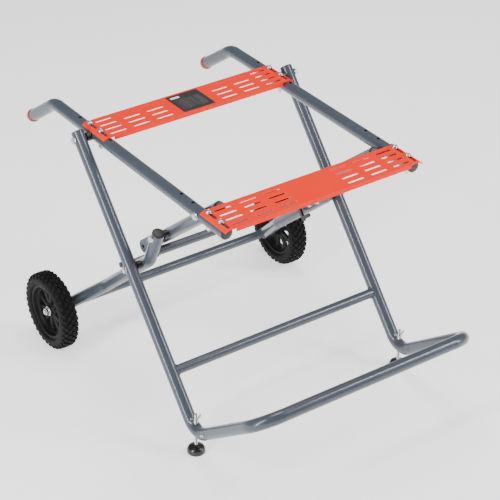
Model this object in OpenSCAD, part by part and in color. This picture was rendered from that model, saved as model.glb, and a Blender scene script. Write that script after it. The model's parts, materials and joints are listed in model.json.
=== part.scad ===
// Rolling, folding stand for a mitre saw: twin round rails carry two slotted steel plates,
// crossed legs fold under the rails, and two treaded wheels stand at the back.
// Millimetres, Z up, feet and wheels on Z = 0. X runs across the stand, the foot bar is at -Y
// and the handles are at +Y. Heights and lengths below are taken from the rails' front ends.

/* [Tubes] */
// Outside diameter of the rails, legs, links and foot bar
tube_d = 32; // [28:1:38]
// Wall of the round tubes
tube_wall = 2; // [1.5:0.1:3]
// Radius of the bends in the legs, on the centre line
bend_r = 50; // [44:1:56]
// Radius of the bend in front of each handle, on the centre line
handle_bend_r = 70; // [56:1:90]

/* [Rails] */
// Half the distance between the two rails, centre to centre
rail_x = 273; // [240:1:300]
// Height of the rails' centre line
rail_z = 647.5; // [600:0.5:700]
// Distance from the rails' front ends to the handle bend
rail_len = 772; // [700:1:850]
// Length of each handle behind the bend
handle_len = 144; // [110:1:200]
// How far each handle droops from level, in degrees
handle_droop = 35.5; // [20:0.5:50]

/* [Pivots] */
// Front legs on the rails, distance back
leg_pivot_y = 573; // [540:1:600]
// Links on the rails, distance back
link_pivot_y = 104; // [95:1:130]
// Wheel legs on the front legs, distance back
cross_y = 352; // [330:1:370]
// Wheel legs on the front legs, height
cross_z = 387; // [370:1:400]
// Wheel legs on the links, distance back
knee_y = 297; // [290:1:305]
// Wheel legs on the links, height
knee_z = 488; // [480:1:495]
// Length of the black spacer between two layers of tube
spacer_len = 13; // [12:0.5:14]
// Radius of every pivot bolt
pivot_r = 5; // [4:0.5:6]
// Running clearance around the pivot bolts
pivot_gap = 0.06; // [0.02:0.01:0.1]

/* [Front legs] */
// Distance back of the point where leg and foot bar would meet
foot_y = 65; // [50:1:80]
// Height of that point
foot_z = 50.6; // [45:0.1:60]
// Distance forward of the foot bar's axis from the rails' front ends
foot_bar_y = 205; // [180:1:230]
// Height of the foot bar's axis
foot_bar_z = 253; // [230:1:270]
// Radius of the foot bar's two corners, on the centre line
corner_r = 62; // [50:1:80]
// Distance along the leg from the foot corner to the lower crossbar
crossbar_up = 165; // [140:1:200]
// Diameter of the lower crossbar
crossbar_d = 25; // [20:1:28]

/* [Wheel legs] */
// Distance back of the wheel axle
axle_y = 673; // [650:1:700]
// Distance from the front legs' crossing to the outward bend
splay_at = 256; // [230:1:270]
// Sideways reach of the wheel legs beyond the rails at the axle
splay_out = 49; // [40:1:56]
// Diameter of the axle tube
axle_tube_d = 25; // [22:1:28]
// Diameter of the upper cross tube
upper_tube_d = 22; // [20:1:24]

/* [Wheels] */
// Wheel radius over the tread
wheel_r = 106.4; // [95:0.1:115]
// Width of the tyre
tyre_w = 50; // [40:1:56]
// Distance from the middle of the stand to the middle of each tyre
wheel_x = 370.6; // [365:0.1:380]
// Radius of the axle rod
axle_r = 6; // [5:0.5:8]

/* [Plates] */
// Front to back size of each plate
plate_w = 104; // [90:1:120]
// Sheet thickness
plate_t = 3; // [2:0.5:4]
// Depth of the turned-down edges
flange_h = 9; // [6:0.5:14]
// Half the length of the turned-down front edges
front_flange_x = 255; // [220:1:256]
// Half the length of the turned-down rear edges
rear_flange_x = 205; // [180:1:256]
// Middle of the front plate, distance back
front_plate_y = 36.5; // [30:0.5:60]
// Middle of the rear plate, distance back
rear_plate_y = 561.5; // [540:0.5:600]
// End to end length of the mounting slots
slot_len = 49; // [40:1:60]
// Width of the mounting slots
slot_w = 8.5; // [6:0.5:10]
// Distance between slot columns
slot_dx = 68.75; // [60:0.25:80]
// Distance between slot rows
slot_dy = 23.6; // [20:0.1:30]
// Middle of the inner slot column
slot_x0 = 98; // [90:1:110]

/* [Levelling feet] */
// Distance back of the two threaded studs
stud_y = 68; // [60:1:75]
// Height of the stud tops
stud_top = 115; // [112:1:125]
// Height of the wing nuts' undersides
wing_z = 90; // [89.8:0.2:93]
// Diameter of the rubber pads
pad_d = 46; // [40:1:50]
// Height of the rubber pads
pad_h = 22; // [20:0.5:24]

/* [Hidden] */
$fn = 96;
tube_r = tube_d / 2;
bore_r = tube_r - tube_wall;
foot_bore_r = bore_r - 3;
cross_wall = 1.6;
// How far a drill or a bore runs past the tube it cuts
drill = 20;
far = 420;
// Hexagons, from centre to corner, and how far nuts and bolt ends stand off a tube
nut_size = 9;
knee_size = 8;
nut_out = 8;
bolt_out = 11;
spacer_r = 11;
// Push-in plugs: lip, depth and play
plug_lip = 2.5;
plug_in = 14;
plug_gap = 0.2;
label_w = 94;
label_l = 92;
label_t = 0.4;
layer = tube_d + spacer_len;
leg_x = rail_x + layer;
link_x = rail_x - layer;
fit_r = pivot_r + pivot_gap;
// Gap between faces that touch but move on each other
touch = 0.3;
// Straight tubes run this far into a bend, which is drawn this much fatter, so that they join
lap = 0.5;
bulge = 0.3;
leg_dy = leg_pivot_y - foot_y;
leg_dz = rail_z - foot_z;
leg_len = sqrt(leg_dy * leg_dy + leg_dz * leg_dz);
leg_u = [leg_dy / leg_len, leg_dz / leg_len];
foot_p = [foot_y, foot_z];
leg_top = foot_p + leg_u * (leg_len + 20);
arm_len = sqrt(pow(foot_y + foot_bar_y, 2) + pow(foot_bar_z - foot_z, 2));
arm_u = [-(foot_y + foot_bar_y) / arm_len, (foot_bar_z - foot_z) / arm_len];
seam_at = 68;
seam_gap = 1.2;
sleeve_in = 18;
sleeve_head_r = 3.3;
stud_in = 3;
latch_x = 297;
foot_screws = [4, 13.5];
crossbar_p = foot_p + leg_u * (crossbar_up + 2);
cross_p = [cross_y, cross_z];
knee_p = [knee_y, knee_z];
axle_p = [axle_y, wheel_r];
strut_len = norm(axle_p - cross_p);
strut_u = (axle_p - cross_p) / strut_len;
elbow_p = cross_p - strut_u * 22.5;
knee_u = (knee_p - elbow_p) / norm(knee_p - elbow_p);
strut_top = knee_p + knee_u * 14;
upper_p = knee_p - knee_u * 66;
splay_p = cross_p + strut_u * splay_at;
splay_len = strut_len - splay_at;
splay_a = atan2(splay_out, splay_len);
splay_r = 70;
splay_cut = splay_r * tan(splay_a / 2);
splay_start = splay_p - strut_u * (splay_cut - lap);
link_p = [link_pivot_y, rail_z];
link_u = (knee_p - link_p) / norm(knee_p - link_p);
link_hole = link_p + link_u * 411;
link_tube_end = 376;
strut_n = [-strut_u[1], strut_u[0]];
latch_p = cross_p + strut_u * 86 + strut_n * 22;
lever_x = link_x + tube_r + 1.5;
hub_in = wheel_x - 26.5;
hub_out = wheel_x + 10.4;
rim_r = 76;
dish_r = 60;
hub_r = 20;
spoke_w = 7;
handle_u = [cos(handle_droop), -sin(handle_droop)];
handle_p = [rail_len, rail_z];
handle_end = handle_p + handle_u * handle_len;
cap_len = 14;
y_front = -foot_bar_y - tube_r;
cap_r = tube_r + 2;
y_rear = handle_end[0] + handle_u[0] * cap_len + cap_r * sin(handle_droop);
y_mid = (y_front + y_rear) / 2;
saddle_r = tube_r + touch;
plate_z = rail_z + saddle_r;
// Plate bolts, and holes left open in the top of the rails, by distance back
plate_bolts = [37, -13];
rail_slots = [646, 502, 186, 137];
steel = [0.46, 0.50, 0.54];
black = [0.07, 0.07, 0.08];
orange = [0.93, 0.30, 0.12];
zinc = [0.78, 0.79, 0.80];
rubber = [0.09, 0.09, 0.10];

// ---------- helpers ----------

module placed() {
    translate([0, -y_mid, 0]) children();
}

module both() {
    children();
    mirror([1, 0, 0]) children();
}

// Side-view plane at a given x: local x is the stand's Y, local y is its Z.
module side(x) {
    translate([x, 0, 0]) rotate([90, 0, 90]) children();
}

module across(p, x0, x1, r) {
    translate([x0, p[0], p[1]]) rotate([0, 90, 0]) cylinder(h = x1 - x0, r = r);
}

module straight(p, q, r) {
    d = q - p;
    translate([p[0], p[1], 0]) rotate([0, 0, atan2(d[1], d[0])]) rotate([0, 90, 0])
        cylinder(h = norm(d), r = r);
}

// Solid round bar through a, b, c with one bend of radius br at b.
module bent(a, b, c, br, r) {
    u = (b - a) / norm(b - a);
    v = (c - b) / norm(c - b);
    turn = atan2(u[0] * v[1] - u[1] * v[0], u[0] * v[0] + u[1] * v[1]);
    cut = br * tan(abs(turn) / 2);
    s = turn > 0 ? 1 : -1;
    p = b - u * cut;
    q = b + v * cut;
    centre = p + [-u[1], u[0]] * br * s;
    start = atan2(p[1] - centre[1], p[0] - centre[0]);
    straight(a, p + u * lap, r);
    straight(q - v * lap, c, r);
    translate([centre[0], centre[1], 0]) rotate([0, 0, s > 0 ? start : start + turn])
        rotate_extrude(angle = abs(turn)) translate([br, 0]) circle(r = r + bulge);
}

module hex(r, h) {
    cylinder(h = h, r = r, $fn = 6);
}

// Hexagon bolt along +X at p: head outside x1, shank back to x0.
module bolt_x(p, x0, x1, r, head) {
    across(p, x0, x1, r);
    translate([x1, p[0], p[1]]) rotate([0, 90, 0]) hex(head, 6.5);
    across(p, x1 - 0.01, x1 + 1.2, head * 0.98);
}

module nut_x(p, x0, r, size) {
    difference() {
        translate([x0, p[0], p[1]]) rotate([0, 90, 0]) hex(size, 8);
        across(p, x0 - 1, x0 + 9, r);
    }
}

module spacer_x(p, x0, x1) {
    difference() {
        across(p, x0, x1, spacer_r);
        across(p, x0 - 1, x1 + 1, pivot_r);
    }
}

// ---------- rails and what is fixed to them ----------

module rail() {
    difference() {
        side(rail_x) bent([0, rail_z], handle_p, handle_end, handle_bend_r, tube_r);
        side(rail_x) bent([-1, rail_z], handle_p, handle_end + handle_u, handle_bend_r,
            bore_r);
        across([leg_pivot_y, rail_z], rail_x - drill, rail_x + drill, pivot_r);
        across([link_pivot_y, rail_z], rail_x - drill, rail_x + drill, pivot_r);
        for (y = rail_slots) translate([rail_x, y, rail_z]) cylinder(h = drill, r = 4.5);
        for (m = [front_plate_y, rear_plate_y], b = plate_bolts)
            translate([rail_x, m + b, rail_z - 20]) cylinder(h = 40, r = 4);
    }
}

module right_rail() {
    color(steel) placed() rail();
}

module left_rail() {
    color(steel) placed() mirror([1, 0, 0]) rail();
}

module rail_front_plugs() {
    color(black) placed() both() side(rail_x) {
        straight([-plug_lip, rail_z], [0, rail_z], tube_r - plug_gap);
        straight([-0.01, rail_z], [plug_in, rail_z], bore_r);
    }
}

module handle_caps() {
    color(orange) placed() both() side(rail_x) {
        straight(handle_end, handle_end + handle_u * cap_len, cap_r);
        straight(handle_end - handle_u * 14, handle_end + handle_u, bore_r);
    }
}

module saddle_profile() {
    intersection() {
        difference() {
            circle(r = saddle_r + plate_t - 0.1);
            circle(r = saddle_r + 0.1);
        }
        polygon([[-1, 0], [30, 22.1], [30, 40], [-1, 40]]);
    }
}

module slot_2d(len, w) {
    square([len - w, w], center = true);
    for (s = [-1, 1]) translate([s * (len - w) / 2, 0]) circle(d = w);
}

// One folded plate, centred on y = 0 at rail height.
module plate() {
    difference() {
        union() {
            translate([-rail_x, -plate_w / 2, plate_z]) cube([2 * rail_x, plate_w, plate_t]);
            both() translate([rail_x, plate_w / 2, rail_z]) rotate([90, 0, 0])
                linear_extrude(plate_w) saddle_profile();
            translate([-front_flange_x, -plate_w / 2, plate_z - flange_h])
                cube([2 * front_flange_x, plate_t, flange_h + 1]);
            translate([-rear_flange_x, plate_w / 2 - plate_t, plate_z - flange_h])
                cube([2 * rear_flange_x, plate_t, flange_h + 1]);
        }
        for (i = [0 : 2], j = [-1.5 : 1 : 1.5], s = [-1, 1])
            translate([s * (slot_x0 + i * slot_dx), j * slot_dy, plate_z - 1])
                linear_extrude(plate_t + 2) slot_2d(slot_len, slot_w);
        for (b = plate_bolts, s = [-1, 1])
            translate([s * rail_x, b - 14, rail_z]) rotate([0, 0, 90])
                linear_extrude(40) slot_2d(37, 8.7);
    }
}

module front_plate() {
    color(orange) placed() translate([0, front_plate_y, 0]) plate();
}

module rear_plate() {
    color(orange) placed() translate([0, rear_plate_y, 0]) plate();
}

module rear_plate_label() {
    color(black) placed() translate([-label_w / 2, rear_plate_y - label_w / 2, plate_z + plate_t])
        cube([label_w, label_l, label_t]);
}

module plate_screws(m) {
    both() for (b = plate_bolts) translate([rail_x, m + b, plate_z + plate_t + 0.05]) {
        difference() {
            union() {
                cylinder(h = 1.6, r = 8.5);
                translate([0, 0, 1.6]) cylinder(h = 4.6, r1 = 7, r2 = 5.6);
            }
            translate([0, 0, 2.6]) cylinder(h = 5, r = 2.6, $fn = 6);
        }
        translate([0, 0, -50]) cylinder(h = 50.01, r = 4);
    }
}

module front_plate_bolts() {
    color(zinc) placed() plate_screws(front_plate_y);
}

module rear_plate_bolts() {
    color(zinc) placed() plate_screws(rear_plate_y);
}

module plate_nuts() {
    color(zinc) placed() both() for (m = [front_plate_y, rear_plate_y], b = plate_bolts)
        translate([rail_x, m + b, rail_z - tube_r - 7]) difference() {
            union() {
                hex(7.4, 6);
                cylinder(h = 7, r = 6.4);
            }
            translate([0, 0, -1]) cylinder(h = 10, r = 4);
        }
}

module leg_pivot_bolts() {
    color(zinc) placed() both()
        bolt_x([leg_pivot_y, rail_z], rail_x - tube_r - bolt_out, leg_x + tube_r + touch,
            pivot_r, nut_size);
}

module leg_pivot_spacers() {
    color(black) placed() both()
        spacer_x([leg_pivot_y, rail_z], rail_x + tube_r, leg_x - tube_r - touch);
}

module leg_pivot_nuts() {
    color(zinc) placed() both()
        nut_x([leg_pivot_y, rail_z], rail_x - tube_r - nut_out, pivot_r, nut_size);
}

module link_pivot_bolts() {
    color(zinc) placed() both()
        bolt_x(link_p, link_x - tube_r - bolt_out, rail_x + tube_r, pivot_r, nut_size);
}

module link_pivot_spacers() {
    color(black) placed() both()
        spacer_x(link_p, link_x + tube_r + touch, rail_x - tube_r);
}

module link_pivot_nuts() {
    color(zinc) placed() both()
        nut_x(link_p, link_x - tube_r - touch - nut_out, pivot_r, nut_size);
}

// ---------- front legs and foot bar ----------

module front_leg() {
    seam = foot_p + arm_u * seam_at;
    difference() {
        side(leg_x) bent(leg_top, foot_p, seam, bend_r, tube_r);
        side(leg_x) bent(leg_top + leg_u, foot_p, seam + arm_u, bend_r, bore_r);
        across([leg_pivot_y, rail_z], leg_x - drill, leg_x + drill, fit_r);
        across(cross_p, leg_x - drill, leg_x + drill, pivot_r);
        translate([leg_x, stud_y, 0]) cylinder(h = stud_top + 25, r = 4.1);
        for (d = foot_screws) across(seam - arm_u * d, leg_x, leg_x + 20, 2.5);
    }
}

module right_front_leg() {
    color(steel) placed() front_leg();
}

module left_front_leg() {
    color(steel) placed() mirror([1, 0, 0]) front_leg();
}

module front_leg_plugs() {
    color(black) placed() both() side(leg_x) {
        straight(leg_top, leg_top + leg_u * plug_lip, tube_r - plug_gap);
        difference() {
            straight(leg_top - leg_u * 12, leg_top + leg_u, bore_r);
            translate([leg_pivot_y, rail_z, -20]) cylinder(h = 40, r = 7);
        }
    }
}

module lower_crossbar() {
    color(steel) placed() difference() {
        across(crossbar_p, -leg_x, leg_x, crossbar_d / 2);
        across(crossbar_p, -leg_x - 1, leg_x + 1, crossbar_d / 2 - cross_wall);
        both() side(leg_x) straight(foot_p + leg_u * 60, foot_p + leg_u * 300, tube_r);
    }
}

module foot_bar() {
    seam = foot_p + arm_u * (seam_at + seam_gap);
    color(steel) placed() difference() {
        union() {
            both() {
                side(leg_x) straight(seam, foot_p + arm_u * (arm_len - corner_r + lap), tube_r);
                side(leg_x) straight(seam - arm_u * sleeve_in, seam + arm_u, bore_r - 0.1);
                foot_corner(corner_r, tube_r);
            }
            across([-foot_bar_y, foot_bar_z], corner_r - leg_x - lap, leg_x - corner_r + lap,
                tube_r);
        }
        both() {
            side(leg_x) straight(seam - arm_u * (sleeve_in + 1),
                foot_p + arm_u * (arm_len - corner_r + lap), foot_bore_r);
            foot_corner(corner_r, foot_bore_r);
        }
        across([-foot_bar_y, foot_bar_z], corner_r - leg_x - lap, leg_x - corner_r + lap,
            foot_bore_r);
        both() for (d = foot_screws) across(seam - arm_u * (d + seam_gap), leg_x, leg_x + 20, 2.5);
    }
}

// Quarter turn of the foot bar, lying in the tilted plane of its two arms.
module foot_corner(br, r) {
    tilt = atan2(arm_u[1], -arm_u[0]);
    translate([0, -foot_bar_y, foot_bar_z]) rotate([-tilt, 0, 0])
        translate([leg_x - br, br, 0]) rotate([0, 0, -90])
            rotate_extrude(angle = 90) translate([br, 0]) circle(r = r + bulge);
}

module foot_bar_screws() {
    seam = foot_p + arm_u * seam_at;
    color(zinc) placed() both() for (d = foot_screws) {
        across(seam - arm_u * d, leg_x + 11.5, leg_x + tube_r + 0.2, 2.5);
        across(seam - arm_u * d, leg_x + tube_r + 0.05, leg_x + tube_r + 2.2, sleeve_head_r);
    }
}

module crossing_bolts() {
    color(zinc) placed() both()
        bolt_x(cross_p, rail_x - tube_r - bolt_out, leg_x + tube_r, pivot_r, nut_size);
}

module crossing_spacers() {
    color(black) placed() both()
        spacer_x(cross_p, rail_x + tube_r + touch, leg_x - tube_r);
}

module crossing_nuts() {
    color(zinc) placed() both()
        nut_x(cross_p, rail_x - tube_r - touch - nut_out, pivot_r, nut_size);
}

// ---------- levelling feet ----------

module foot_stud() {
    translate([leg_x, stud_y, pad_h - stud_in]) cylinder(h = stud_top - pad_h + stud_in, r = 4);
}

module foot_pad() {
    translate([leg_x, stud_y, 0]) difference() {
        rotate_extrude() polygon([[0, 0], [pad_d / 2 - 1.5, 0], [pad_d / 2, 1.5],
            [pad_d / 2, pad_h - 13], [pad_d / 2 - 2.5, pad_h - 7.5], [14, pad_h - 2.5],
            [8, pad_h], [0, pad_h]]);
        translate([0, 0, pad_h - stud_in]) cylinder(h = 4, r = 4);
    }
}

module wing_nut() {
    translate([leg_x, stud_y, wing_z]) difference() {
        union() {
            cylinder(h = 9, r1 = 6.6, r2 = 5.8);
            for (s = [-1, 1]) translate([s * 11.5, 1.6, 10.5]) rotate([90, 0, 0]) difference() {
                linear_extrude(3.2) polygon([[-s * 5.5, -8], [s * 4.5, 4], [s * 4, 8],
                    [s * 0.5, 8], [-s * 4.2, 0]]);
            }
        }
        translate([0, 0, -1]) cylinder(h = 22, r = 4.05);
    }
}

module right_foot_stud() {
    color(zinc) placed() foot_stud();
}

module right_foot_pad() {
    color(rubber) placed() foot_pad();
}

module right_wing_nut() {
    color(zinc) placed() wing_nut();
}

module left_foot_stud() {
    color(zinc) placed() mirror([1, 0, 0]) foot_stud();
}

module left_foot_pad() {
    color(rubber) placed() mirror([1, 0, 0]) foot_pad();
}

module left_wing_nut() {
    color(zinc) placed() mirror([1, 0, 0]) wing_nut();
}

// ---------- wheel legs ----------

// Lower wheel leg: bends outwards so that its end stands beside the wheel.
module splay(r, extra) {
    translate([rail_x, splay_p[0], splay_p[1]])
        rotate([90, 0, 90]) rotate([0, 0, atan2(strut_u[1], strut_u[0])]) rotate([90, 0, 0]) {
            translate([-splay_cut, splay_r, 0]) rotate([0, 0, -90])
                rotate_extrude(angle = splay_a) translate([splay_r, 0]) circle(r = r + bulge);
            rotate([0, 0, splay_a]) translate([splay_cut - lap, 0, 0]) rotate([0, 90, 0])
                cylinder(h = splay_len / cos(splay_a) - splay_cut + 15 + extra, r = r);
        }
}

module wheel_leg() {
    difference() {
        union() {
            side(rail_x) bent(strut_top, elbow_p, splay_start, bend_r, tube_r);
            splay(tube_r, 0);
        }
        side(rail_x) bent(strut_top + knee_u, elbow_p, splay_start, bend_r, bore_r);
        splay(bore_r, 1);
        across(cross_p, rail_x - drill, rail_x + drill, fit_r);
        across(knee_p, rail_x - drill, rail_x + drill, pivot_r);
        across(axle_p, rail_x, rail_x + 90, axle_r);
        across(cross_p + strut_u * 44, rail_x - drill, rail_x + drill, 3);
    }
}

module right_wheel_leg() {
    color(steel) placed() wheel_leg();
}

module left_wheel_leg() {
    color(steel) placed() mirror([1, 0, 0]) wheel_leg();
}

module wheel_leg_plugs() {
    color(black) placed() both() side(rail_x) {
        straight(strut_top, strut_top + knee_u * plug_lip, tube_r - plug_gap);
        difference() {
            straight(strut_top - knee_u * 12, strut_top + knee_u, bore_r);
            translate([knee_y, knee_z, -20]) cylinder(h = 40, r = 7);
        }
    }
}

module upper_cross_tube() {
    color(steel) placed() difference() {
        across(upper_p, -rail_x, rail_x, upper_tube_d / 2);
        across(upper_p, -rail_x - 1, rail_x + 1, upper_tube_d / 2 - cross_wall);
        both() side(rail_x) straight(elbow_p - knee_u * 20, strut_top + knee_u * 20, tube_r);
    }
}

module axle_tube() {
    color(steel) placed() difference() {
        across(axle_p, -rail_x - splay_out, rail_x + splay_out, axle_tube_d / 2);
        across(axle_p, -far, far, axle_tube_d / 2 - 2);
        both() splay(tube_r, 20);
    }
}

module axle_rod() {
    color(zinc) placed() across(axle_p, -hub_out - 13, hub_out + 13, axle_r);
}

module axle_spacers() {
    color(zinc) placed() both() difference() {
        across(axle_p, rail_x + splay_out, hub_in - touch, spacer_r);
        across(axle_p, rail_x, far, axle_r);
        splay(tube_r, 20);
    }
}

module axle_nuts() {
    color(zinc) placed() both() difference() {
        union() {
            across(axle_p, hub_out + touch, hub_out + 2.4, 13);
            translate([hub_out + 2.3, axle_p[0], axle_p[1]]) rotate([0, 90, 0]) hex(10.4, 8);
        }
        across(axle_p, rail_x, far, axle_r);
    }
}

module knee_bolts() {
    color(zinc) placed() both()
        bolt_x(knee_p, link_x + tube_r + 1, rail_x + tube_r, pivot_r, knee_size);
}

module knee_spacers() {
    color(black) placed() both()
        spacer_x(knee_p, link_x + tube_r + 1, rail_x - tube_r);
}

// ---------- links ----------

module link() {
    difference() {
        union() {
            side(link_x) straight(link_p - link_u * 12, link_p + link_u * link_tube_end, tube_r);
            side(link_x) translate([0, 0, -10]) linear_extrude(20) {
                translate(link_p + link_u * link_tube_end) rotate(atan2(link_u[1], link_u[0]))
                    translate([-16, -17]) square([51, 34]);
                translate(link_hole) circle(r = 17);
            }
        }
        side(link_x) straight(link_p - link_u * 13, link_p + link_u * (link_tube_end - 20),
            bore_r);
        across(link_p, link_x - drill, link_x + drill, fit_r);
        across(knee_p, link_x - drill, link_x + drill, pivot_r);
        across(link_hole, link_x - drill, link_x + drill, 5);
    }
}

module right_link() {
    color(steel) placed() link();
}

module left_link() {
    color(steel) placed() mirror([1, 0, 0]) link();
}

module link_plugs() {
    color(black) placed() both() side(link_x) {
        straight(link_p - link_u * 14.5, link_p - link_u * 12, tube_r - plug_gap);
        difference() {
            straight(link_p - link_u * 13, link_p, bore_r);
            translate([link_pivot_y, rail_z, -20]) cylinder(h = 40, r = 7);
        }
    }
}

module link_knee_pins() {
    color(zinc) placed() both() {
        across(knee_p, link_x - tube_r - 10, link_x + tube_r, pivot_r);
        translate([link_x - tube_r - nut_out, knee_p[0], knee_p[1]]) rotate([0, 90, 0]) hex(9, 8);
    }
}

// ---------- latch ----------

module latch_bar() {
    color(zinc) placed() across(latch_p, -latch_x, latch_x, pivot_r);
}

module latch_bar_caps() {
    color(black) placed() both() difference() {
        across(latch_p, latch_x - 6.5, latch_x + 3, 7);
        across(latch_p, latch_x - 7, latch_x, pivot_r);
    }
}

module latch_lever() {
    tip = latch_p - strut_n * 50;
    fork = latch_p - strut_n * 46 - strut_u * 30;
    color(black) placed() side(lever_x) difference() {
        linear_extrude(6) union() {
            translate(latch_p) circle(r = 10);
            translate(tip) circle(r = 5);
            translate(fork) circle(r = 5);
            translate(latch_p) rotate(atan2(-strut_n[1], -strut_n[0]))
                translate([0, -5]) square([50, 10]);
            translate(fork) rotate(atan2(strut_u[1], strut_u[0]))
                translate([0, -5]) square([30, 10]);
        }
        translate([latch_p[0], latch_p[1], -1]) cylinder(h = 8, r = pivot_r);
    }
}

module latch_clips() {
    color(black) placed() both() side(rail_x - 11) difference() {
        linear_extrude(22) {
            translate(latch_p) circle(r = 9);
            translate(latch_p) rotate(atan2(strut_u[1], strut_u[0]))
                translate([-13, -14]) square([26, 13]);
        }
        translate([latch_p[0], latch_p[1], -1]) cylinder(h = 24, r = fit_r);
        translate([0, 0, 11]) straight(cross_p - strut_u * 10, cross_p + strut_u * 200, tube_r);
    }
}

module latch_clip_bolts() {
    p = cross_p + strut_u * 44;
    color(zinc) placed() both() {
        across(p, rail_x - tube_r - 3, rail_x + tube_r, 3);
        across(p, rail_x - tube_r - 5, rail_x - tube_r, 6);
        across(p, rail_x + tube_r, rail_x + tube_r + 4, 5.5);
    }
}

// ---------- wheels ----------

module tyre() {
    h = tyre_w / 2;
    translate([wheel_x, axle_p[0], axle_p[1]]) rotate([0, 90, 0]) rotate_extrude()
        polygon([[rim_r, -18], [rim_r + 3, -h + 4], [84, -h], [90, -h], [99, -h + 1.5],
            [103.5, -h + 5], [wheel_r, -14], [wheel_r, 14], [103.5, h - 5], [99, h - 1.5],
            [90, h], [84, h], [rim_r + 3, h - 4], [rim_r, 18]]);
}

module rim() {
    translate([wheel_x, axle_p[0], axle_p[1]]) rotate([0, 90, 0]) difference() {
        union() {
            rotate_extrude() polygon([[dish_r, -18], [rim_r, -18], [rim_r, 18], [dish_r, 18]]);
            translate([0, 0, hub_in - wheel_x]) cylinder(h = hub_out - hub_in, r = hub_r);
            for (i = [0 : 4], s = [-1, 1]) rotate([0, 0, i * 72 + s * 14])
                translate([16, -spoke_w / 2, -9]) cube([dish_r - 12, spoke_w, 14]);
        }
        translate([0, 0, -60]) cylinder(h = 120, r = axle_r + pivot_gap);
    }
}

module right_tyre() {
    color(rubber) placed() tyre();
}

module right_rim() {
    color(black) placed() rim();
}

module left_tyre() {
    color(rubber) placed() mirror([1, 0, 0]) tyre();
}

module left_rim() {
    color(black) placed() mirror([1, 0, 0]) rim();
}

left_rail();
right_rail();
rail_front_plugs();
handle_caps();
front_plate();
front_plate_bolts();
rear_plate_bolts();
plate_nuts();
rear_plate();
rear_plate_label();
leg_pivot_bolts();
leg_pivot_spacers();
leg_pivot_nuts();
link_pivot_bolts();
link_pivot_spacers();
link_pivot_nuts();
left_front_leg();
right_front_leg();
front_leg_plugs();
lower_crossbar();
foot_bar();
foot_bar_screws();
crossing_bolts();
crossing_spacers();
crossing_nuts();
left_foot_stud();
left_foot_pad();
left_wing_nut();
right_foot_stud();
right_foot_pad();
right_wing_nut();
left_wheel_leg();
right_wheel_leg();
wheel_leg_plugs();
upper_cross_tube();
axle_tube();
axle_rod();
axle_spacers();
axle_nuts();
knee_bolts();
knee_spacers();
left_link();
right_link();
link_plugs();
link_knee_pins();
latch_bar();
latch_bar_caps();
latch_lever();
latch_clips();
latch_clip_bolts();
left_tyre();
left_rim();
right_tyre();
right_rim();
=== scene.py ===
import json
import math

import bmesh
import bpy
from mathutils import Matrix, Quaternion, Vector


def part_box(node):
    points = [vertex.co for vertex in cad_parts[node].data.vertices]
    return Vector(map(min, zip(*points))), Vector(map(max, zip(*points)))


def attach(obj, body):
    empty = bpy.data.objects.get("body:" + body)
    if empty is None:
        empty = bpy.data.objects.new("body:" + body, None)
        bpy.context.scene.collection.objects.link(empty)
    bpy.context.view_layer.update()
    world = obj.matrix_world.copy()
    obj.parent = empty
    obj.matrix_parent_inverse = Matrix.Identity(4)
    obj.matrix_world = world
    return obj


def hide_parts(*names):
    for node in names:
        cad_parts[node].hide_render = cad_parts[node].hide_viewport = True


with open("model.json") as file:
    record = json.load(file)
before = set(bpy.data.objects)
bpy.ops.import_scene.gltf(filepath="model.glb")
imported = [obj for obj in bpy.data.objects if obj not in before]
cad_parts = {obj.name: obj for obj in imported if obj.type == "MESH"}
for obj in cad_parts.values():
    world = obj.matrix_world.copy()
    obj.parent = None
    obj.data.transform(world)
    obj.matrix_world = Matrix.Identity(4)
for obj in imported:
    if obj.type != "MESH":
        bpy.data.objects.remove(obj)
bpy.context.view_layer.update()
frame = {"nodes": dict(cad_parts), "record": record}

# ---------------------------------------------------------------------------
# Rails. Two lengths of 32 mm round steel tube, drawn down at the back into
# handles and finished in a blue-grey metallic enamel. Every other part of the
# stand hangs from them.


class Field:
    """A socket of a node tree. Sums written with it become Math nodes."""

    def __init__(self, tree, socket=None):
        self.tree = tree
        self.socket = socket

    def node(self, kind, settings=None, sockets=None, out=0):
        made = self.tree.nodes.new(kind)
        for key, value in (settings or {}).items():
            setattr(made, key, value)
        for key, value in (sockets or {}).items():
            if isinstance(value, Field):
                self.tree.links.new(value.socket, made.inputs[key])
            else:
                made.inputs[key].default_value = value
        return Field(self.tree, made.outputs[out])

    def maths(self, operation, *values):
        return self.node("ShaderNodeMath", {"operation": operation}, dict(enumerate(values)))

    def __add__(self, other):
        return self.maths("ADD", self, other)

    __radd__ = __add__

    def __sub__(self, other):
        return self.maths("SUBTRACT", self, other)

    def __rsub__(self, other):
        return self.maths("SUBTRACT", other, self)

    def __mul__(self, other):
        return self.maths("MULTIPLY", self, other)

    __rmul__ = __mul__

    def __truediv__(self, other):
        return self.maths("DIVIDE", self, other)

    def above(self, low, high):
        """0 below low, 1 above high, and a smooth climb between."""
        return self.node("ShaderNodeMapRange", {"interpolation_type": "SMOOTHSTEP"},
                         {0: self, 1: low, 2: high, 3: 0.0, 4: 1.0})

    def tint(self, share, colour, other):
        """colour, going to other as share goes to 1."""
        return self.node("ShaderNodeMix", {"data_type": "RGBA"},
                         {0: share, 6: colour, 7: other}, out=2)

    def noise(self, place, scale, detail=2.0, roughness=0.5):
        return self.node("ShaderNodeTexNoise", None,
                         {"Vector": place, "Scale": scale, "Detail": detail,
                          "Roughness": roughness})

    def stretched(self, place, scale):
        return self.node("ShaderNodeMapping", None, {"Vector": place, "Scale": scale})

    def bumped(self, height, distance, strength=1.0):
        return self.node("ShaderNodeBump", None,
                         {"Height": height, "Distance": distance, "Strength": strength})


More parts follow.
